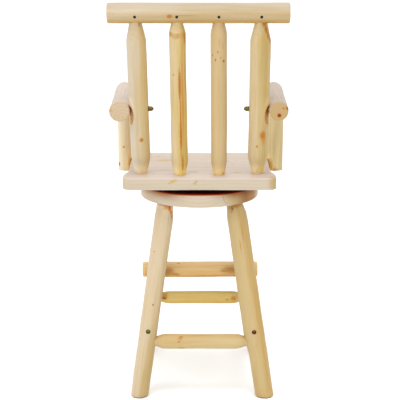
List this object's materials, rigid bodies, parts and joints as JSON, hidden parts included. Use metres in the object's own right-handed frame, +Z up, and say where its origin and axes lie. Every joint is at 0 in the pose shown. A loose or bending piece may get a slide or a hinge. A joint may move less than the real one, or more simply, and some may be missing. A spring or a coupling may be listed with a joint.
{
  "type": "swivel bar stool",
  "caption": "Peeled pine log bar stool: a plank seat with a log back and log arms turns on a ball-bearing swivel above splayed legs with rungs and a foot rail.",
  "frame": {"origin": "on the floor under the swivel's axis, in the middle of the four feet front to back", "axes": "+Z up, the back of the stool towards -Y, the sitter facing +Y, +X to the right in the picture, which looks at the stool from behind"},
  "size_m": [0.5648, 0.4708, 1.2654],
  "materials": {
    "pine_log": "peeled and clear varnished",
    "pine_board": "planed and clear varnished",
    "yellow_zinc": "yellow zinc plated steel",
    "bright_steel": "zinc plated",
    "black_steel": "black phosphate"
  },
  "bodies": {
    "base": {"base_disc": "pine_board", "leg_rear_left": "pine_log", "leg_rear_right": "pine_log", "leg_front_left": "pine_log", "leg_front_right": "pine_log", "rear_rung": "pine_log", "front_rung": "pine_log", "side_rung_left": "pine_log", "side_rung_right": "pine_log", "foot_rail": "pine_log", "cross_rung_bolts": "yellow_zinc", "side_rung_bolts": "yellow_zinc", "barrel_nuts": "yellow_zinc", "foot_rail_screws": "yellow_zinc", "leg_screws": "bright_steel", "swivel_lower_plate": "bright_steel", "swivel_bolts": "bright_steel"},
    "ball_ring": {"bearing_cage": "bright_steel", "bearing_balls": "bright_steel"},
    "seat": {"outer_post_left": "pine_log", "inner_post_left": "pine_log", "inner_post_right": "pine_log", "outer_post_right": "pine_log", "top_rail": "pine_log", "arm_left": "pine_log", "arm_right": "pine_log", "arm_support_left": "pine_log", "arm_support_right": "pine_log", "seat_board": "pine_board", "arm_cap_nuts": "yellow_zinc", "swivel_upper_plate": "bright_steel", "plate_screws": "bright_steel", "arm_bolts": "bright_steel", "post_screws": "black_steel", "rail_screws": "black_steel", "arm_washers": "black_steel", "support_screws": "black_steel"}
  },
  "joints": [
    {"name": "seat_swivel", "type": "hinge", "parent": "base", "child": "seat", "pos_m": [0, 0, 0.6765], "axis": [0, 0, 1], "continuous": true},
    {"name": "ball_orbit", "type": "hinge", "parent": "base", "child": "ball_ring", "pos_m": [0, 0, 0.6765], "axis": [0, 0, 1], "continuous": true}
  ],
  "couplings": [
    {"joint": "ball_orbit", "follows": "seat_swivel", "ratio": 0.5}
  ]
}
